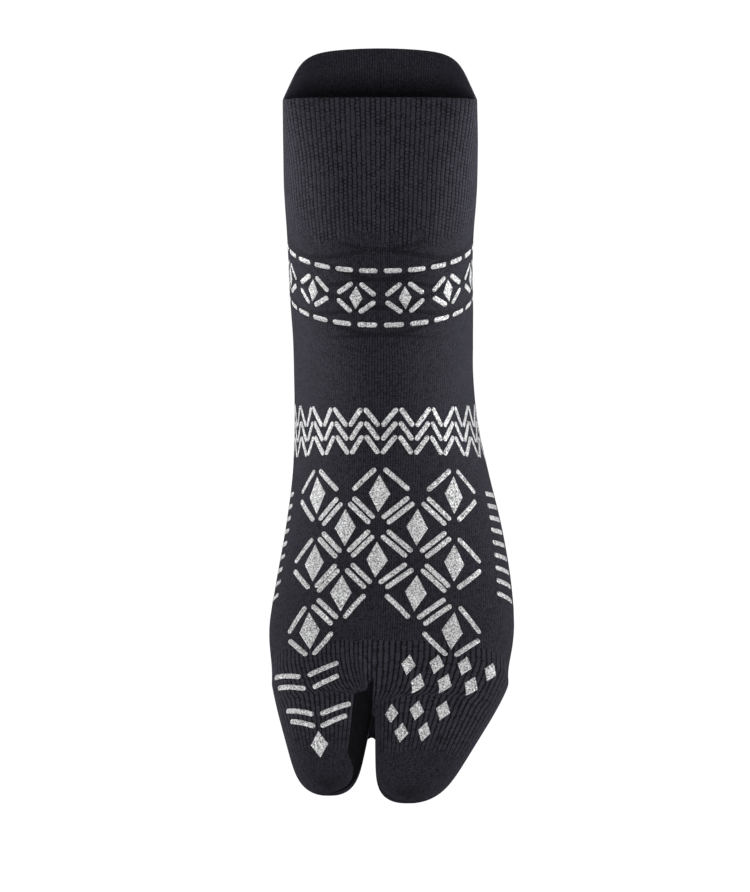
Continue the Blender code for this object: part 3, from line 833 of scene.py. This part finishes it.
def on_sock(share, down):
    """Outer face at a share of the way round, below 0 towards the big toe, and millimetres down."""
    station = np.interp(down, DOWN_THE_SOCK, TABLE_STATIONS)
    halves = [sock_surface(side, look_up(U_AT_SHARE[side], station, np.abs(share)), station)
              for side in (MEDIAL, LATERAL)]
    return np.where((share > 0)[..., None], halves[1], halves[0])


def lie_of_knit(share, down):
    """Tangents by share and by millimetres down, and their cross product, the outward normal."""
    around = on_sock(share + SHARE_STEP, down) - on_sock(share - SHARE_STEP, down)
    along = on_sock(share, down + DOWN_STEP) - on_sock(share, down - DOWN_STEP)
    return around / (2 * SHARE_STEP), along / (2 * DOWN_STEP), unit(np.cross(along, around))


def foil_grids(dashes):
    """Flattened tubes for many dashes at once: share and down at both tips, width in metres, 1 for pointed.

    Across, the foil is crowned and its edges tuck into the knit. Along, a round end's width goes by a quarter
    circle, and a pointed one's falls evenly from the middle. Steps aside turn into share and down by solving
    the two tangents' dot products for them."""
    dashes = np.array(dashes, float)
    start, end, width, pointed = dashes[:, 0:2], dashes[:, 2:4], dashes[:, 4:5], dashes[:, 5:6]
    tips = on_sock(end[:, 0], end[:, 1]) - on_sock(start[:, 0], start[:, 1])
    length = np.linalg.norm(tips, axis=1)[:, None]
    cap = width / 2 * (1 - np.cos(np.linspace(0, math.pi / 2, 5)))
    middle = width / 2 + (length - width) * np.linspace(0, 1, 9)[1:-1]
    place = np.concatenate([cap, middle, length - cap[:, ::-1]], axis=1)
    from_end = np.minimum(place, length - place)
    rounded = np.sqrt(np.clip(1 - (1 - np.clip(2 * from_end / width, 0, 1)) ** 2, 0, 1))
    fullness = np.where(pointed > 0, 2 * from_end / length, rounded)
    share = start[:, :1] + (end - start)[:, :1] * place / length
    down = start[:, 1:] + (end - start)[:, 1:] * place / length
    around, along, normal = lie_of_knit(share, down)
    forward = unit(around * (end - start)[:, None, :1] + along * (end - start)[:, None, 1:])
    aside = np.cross(normal, forward)
    aa, ab, bb = (around * around).sum(-1), (around * along).sum(-1), (along * along).sum(-1)
    ta, tb = (aside * around).sum(-1), (aside * along).sum(-1)
    flat = aa * bb - ab * ab
    across = np.array([-1, -0.86, -0.4, 0.4, 0.86, 1, 0.5, -0.5, -1])
    height = np.array([-0.2, 0.75, 1, 1, 0.75, -0.2, -1, -1, -0.2])
    height = np.where(height > 0, height * FOIL_TOP, -height * FOIL_UNDER)
    step = (width / 2 * fullness)[..., None] * across
    share = share[..., None] + ((ta * bb - tb * ab) / flat)[..., None] * step
    down = down[..., None] + ((tb * aa - ta * ab) / flat)[..., None] * step
    lift = height * np.clip(4 * fullness, 0, 1)[..., None]
    points = on_sock(share, down) + lift[..., None] * lie_of_knit(share, down)[2]
    return [(grid, knit, False) for grid, knit in zip(points, np.stack([share * HALF_WALES, down], axis=-1))]


def diamond(share, down, half_share, half_down, short=0.16):
    """Four dashes along a diamond's sides, each cut short at both ends, and a filled diamond inside."""
    corners = np.array([(0, -half_down), (half_share, 0), (0, half_down), (-half_share, 0), (0, -half_down)])
    corners = corners + (share, down)
    cuts = short * np.diff(corners, axis=0)
    sides = [(*(a + cut), *(b - cut), DASH_WIDTH, 0) for a, b, cut in zip(corners, corners[1:], cuts)]
    fill = 0.66 * half_down
    return sides + [(share, down - fill, share, down + fill, 0.0011 * fill, 1)]


def chevron(share, down, half_share, drop):
    """Two dashes that meet in a point towards the toes."""
    gap = 0.1 * half_share
    return [(share + way * gap, down + drop, share + way * half_share, down, DASH_WIDTH, 0)
            for way in (-1, 1)]


foil = []
for centre in (np.arange(BAND_DIAMONDS) + 0.5) * 2 / BAND_DIAMONDS - 1:
    foil += diamond(centre, BAND_DOWN, 0.94 / BAND_DIAMONDS, 7.5)
    for border in (-11.5, 11.5):
        for way in (-1, 1):
            middle = centre + way * 0.5 / BAND_DIAMONDS
            reach = 0.38 / BAND_DIAMONDS
            at = BAND_DOWN + border
            foil.append((middle - reach, at, middle + reach, at, DASH_WIDTH, 0))
for apex in np.arange(-5, 6) * 0.1:
    for offset in (-6.0, 0.0, 6.0):
        foil += chevron(apex, ZIGZAG_DOWN + offset - 4, 0.046, 8.0)
for down, shares in ((168, (-0.24, 0, 0.24)), (182.5, (-0.12, 0.12)), (197, (-0.24, 0, 0.24)),
                     (211.5, (-0.125, 0.125)), (226, (-0.25, 0.25))):
    for share in shares:
        foil += diamond(share, down, 0.104, 12.2, 0.12)
for rung in range(9):
    for share in (-0.46, 0.44):
        foil.append((share - 0.045, 166 + 5 * rung, share + 0.045, 166 + 5 * rung, DASH_WIDTH, 0))
for step, down in enumerate((240.5, 246, 258, 263.5)):
    foil += chevron(-0.29, down, 0.15 - 0.01 * step, 5.5)
foil.append((-0.29, 271, -0.29, 283, 0.0070, 1))
for down, shares in ((240.6, (0.12, 0.21, 0.30, 0.39)), (248.6, (0.165, 0.255, 0.345)),
                     (260, (0.12, 0.21, 0.30)), (269, (0.165, 0.255))):
    foil += [(share, down - 4.2, share, down + 4.2, 0.0060, 1) for share in shares]

silver, nodes, shader = new_material("silver glitter foil")
place = nodes.add("ShaderNodeTexCoord").outputs["Object"]
flakes = nodes.add("ShaderNodeTexVoronoi", {"Vector": place, "Scale": 2900.0}).outputs["Color"]
glint_share = nodes.add("ShaderNodeSeparateColor", {0: flakes}).outputs[0]
# Each flake's colour runs from dark grey to near white: partly painted glint, beside the real tilt of its
# normal
painted_flake_glints = nodes.blend(nodes.ramp(glint_share, 0.0, 0.8), (0.20, 0.20, 0.204, 1), (0.97, 0.97, 0.98, 1))
centred = nodes.add("ShaderNodeVectorMath", {0: flakes, 1: (0.5, 0.5, 0.5)}, operation="SUBTRACT")
tilt = nodes.add("ShaderNodeVectorMath", {0: centred, "Scale": 0.85}, operation="SCALE")
own_normal = nodes.add("ShaderNodeNewGeometry").outputs["Normal"]
faced = nodes.add("ShaderNodeVectorMath", {0: own_normal, 1: tilt}, operation="ADD")
flake_normal = nodes.add("ShaderNodeVectorMath", {0: faced}, operation="NORMALIZE")
nodes.fill(shader, {"Base Color": painted_flake_glints, "Normal": flake_normal, "Metallic": 0.3, "Roughness": 0.5})

foil_print = add_surface("silver_print", foil_grids(foil), silver)
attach(foil_print, "root")


# Grips: round pads of black silicone, printed under the sole and the toes and cured there,
# so each is a low smooth dome whose edge runs into the knit.
GRIP_RADIUS = 0.0034
GRIP_TOP = 0.0012
GRIP_UNDER = -0.0001
GRIP_SIDES = 24
GRIP_SPACING = 0.0165
GRIP_FIRST = 0.026
GRIP_LAST = 0.200
GRIP_COLUMNS = ((0.0075, 0.0215), (0.0145,))
TOE_GRIPS = ((MEDIAL, 0.78, 0.60), (LATERAL, 0.69, 0.56), (LATERAL, 0.80, 0.56))


def grip_places():
    """Side, u and station of each grip: staggered rows under the sole, and a few under the toes."""
    at = np.linspace(HEEL_END - 1, WEB, 200)
    along = through(table_column(3) * WEB_FROM_HEEL, at)
    places = []
    for row, distance in enumerate(np.arange(GRIP_FIRST, GRIP_LAST, GRIP_SPACING)):
        station = np.interp(distance, along, at)
        middle = -WEB_ASIDE * smooth((station - HEEL_END) / (WEB - HEEL_END))
        for side in (MEDIAL, LATERAL):
            u = np.linspace(1, 0.6, 80)
            aside = np.abs(sock_surface(side, u, station)[:, 0] - middle)
            for offset in GRIP_COLUMNS[row % 2]:
                places.append((side, np.interp(offset, aside, u), station))
    return places + [(side, u, WEB + reach) for side, u, reach in TOE_GRIPS]


def grip_grids(side, u, station):
    """Domes about places on one side: a circle in the tangent plane for each ring of a rounded profile."""
    around, along = (np.linalg.norm(slope, axis=-1) for slope in slopes(side, u, station))
    turn = np.linspace(0, 2 * math.pi, GRIP_SIDES + 1)
    ring = np.array([1.0, 1.0, 0.97, 0.88, 0.7, 0.45, 0.2, 0.0])[:, None]
    height = np.array([GRIP_UNDER, 0.3 * GRIP_TOP, 0.62 * GRIP_TOP, 0.85 * GRIP_TOP, 0.96 * GRIP_TOP,
                       GRIP_TOP, GRIP_TOP, GRIP_TOP])[:, None]
    ring_u = u[:, None, None] + ring * np.cos(turn) * GRIP_RADIUS / around[:, None, None]
    ring_station = station[:, None, None] + ring * np.sin(turn) * GRIP_RADIUS / along[:, None, None]
    lift = (height * np.ones_like(turn))[..., None]
    points = sock_surface(side, ring_u, ring_station) + lift * outward(side, ring_u, ring_station)
    base = points[:, :1].mean(axis=2, keepdims=True) + 0 * points[:, :1]
    points = np.concatenate([base, points], axis=1)
    points[:, -1] = points[:, -1].mean(axis=1, keepdims=True)
    return [(grid, grid[..., :2] * 1000, side == MEDIAL) for grid in points]


rubber, nodes, shader = new_material("black silicone")
place = nodes.add("ShaderNodeTexCoord").outputs["Object"]
wear = nodes.add("ShaderNodeTexNoise", {"Vector": place, "Scale": 420.0, "Detail": 4.0})
pits = nodes.add("ShaderNodeTexNoise", {"Vector": place, "Scale": 2400.0, "Detail": 2.0})
rubber_colour = nodes.blend(wear.outputs["Fac"], (0.008, 0.008, 0.009, 1), (0.018, 0.018, 0.020, 1))
pitted = nodes.add("ShaderNodeBump", {"Height": pits.outputs["Fac"], "Distance": 0.00004})
polish = nodes.ramp(wear.outputs["Fac"], 0.3, 0.7, 0.32, 0.52)
nodes.fill(shader, {"Base Color": rubber_colour, "Roughness": polish, "Normal": pitted})

grips = grip_places()
domes = []
for side in (MEDIAL, LATERAL):
    own = np.array([place[1:] for place in grips if place[0] == side])
    domes += grip_grids(side, own[:, 0], own[:, 1])
pads = add_surface("sole_grips", domes, rubber)
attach(pads, "root")
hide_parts(*[f"grip_{number:02d}" for number in range(1, len(grips) + 1)])


# Studio: a white floor well below the hanging sock and large soft lamps to both sides, as
# a product photographer would set them, and a long lens that looks a little down.
CAMERA_DOWN = math.radians(18)
CAMERA_AWAY = 2.2
LOOK_AT_Z = -0.13
SENSOR = 36.0
LENS = 220.3
PICTURE_HEIGHT = 892
FLOOR_Z = -0.40
FLOOR_HALF = 12
LAMP_SPREAD = math.radians(40)
LAMP_POWER = 2.4
FRONT_POWER = 30
WORLD_LIGHT = 0.28
FLOOR_LIGHT = 0.15


def add_lamp(name, place, aim, width, height, power_watts):
    """Softbox at a place, turned so that its face looks at the aim."""
    lamp = bpy.data.lights.new(name, "AREA")
    lamp.shape = "RECTANGLE"
    lamp.size = width
    lamp.size_y = height
    lamp.energy = power_watts
    thing = bpy.data.objects.new(name, lamp)
    bpy.context.collection.objects.link(thing)
    back = unit(np.subtract(place, aim))
    right = unit(np.cross((0, 0, 1), back))
    up = np.cross(back, right)
    turned = np.eye(4)
    turned[:3] = np.stack([right, up, back, place], axis=1)
    thing.matrix_world = Matrix(turned.tolist())
    return thing


def white_to_camera(nodes, light):
    """Strength of a white surround: full to the camera, and what it lights the object with otherwise."""
    return nodes.ramp(nodes.add("ShaderNodeLightPath").outputs["Is Camera Ray"], 0.0, 1.0, light, 1.05)


floor_mesh = bpy.data.meshes.new("studio_floor")
floor_corners = [(x * FLOOR_HALF, y * FLOOR_HALF, FLOOR_Z) for x, y in ((-1, -1), (1, -1), (1, 1), (-1, 1))]
floor_mesh.from_pydata(floor_corners, [], [(0, 1, 2, 3)])
floor = bpy.data.objects.new("studio_floor", floor_mesh)
bpy.context.collection.objects.link(floor)
paper, nodes, shader = new_material("white paper")
paper.node_tree.nodes.remove(shader)
strength = white_to_camera(nodes, FLOOR_LIGHT)
glow = nodes.add("ShaderNodeEmission", {"Color": (1, 1, 1, 1), "Strength": strength})
below = nodes.add("ShaderNodeNewGeometry").outputs["Backfacing"]
clear = nodes.add("ShaderNodeBsdfTransparent")
open_below = nodes.add("ShaderNodeMixShader", {0: below, 1: glow, 2: clear})
nodes.join(paper.node_tree.nodes["Material Output"].inputs["Surface"], open_below)
floor_mesh.materials.append(paper)

for way in (-1, 1):
    softbox = add_lamp("side softbox", (way * 1.5, 0.35, -0.12), (0, 0, 0.18), 0.8, 0.25, LAMP_POWER)
    softbox.data.spread = LAMP_SPREAD
add_lamp("front softbox", (0, -2.4, 0.42), (0, 0, -0.05), 1.2, 0.3, FRONT_POWER)

world = bpy.data.worlds.new("studio")
bpy.context.scene.world = world
world.use_nodes = True
nodes = Nodes(world.node_tree)
sky = world.node_tree.nodes["Background"]
sky.inputs["Color"].default_value = (1, 1, 1, 1)
nodes.join(sky.inputs["Strength"], white_to_camera(nodes, WORLD_LIGHT))

lens = bpy.data.cameras.new("camera")
lens.sensor_width = SENSOR
lens.sensor_fit = "AUTO"
lens.lens = LENS
lens.shift_x = -5.5 / PICTURE_HEIGHT
lens.shift_y = -61.0 / PICTURE_HEIGHT
lens.clip_end = 60
camera = bpy.data.objects.new("camera", lens)
bpy.context.collection.objects.link(camera)
camera.location = (0, -CAMERA_AWAY * math.cos(CAMERA_DOWN), LOOK_AT_Z + CAMERA_AWAY * math.sin(CAMERA_DOWN))
camera.rotation_euler = (math.pi / 2 - CAMERA_DOWN, 0, 0)
bpy.context.scene.camera = camera
bpy.context.scene.view_settings.view_transform = "Standard"
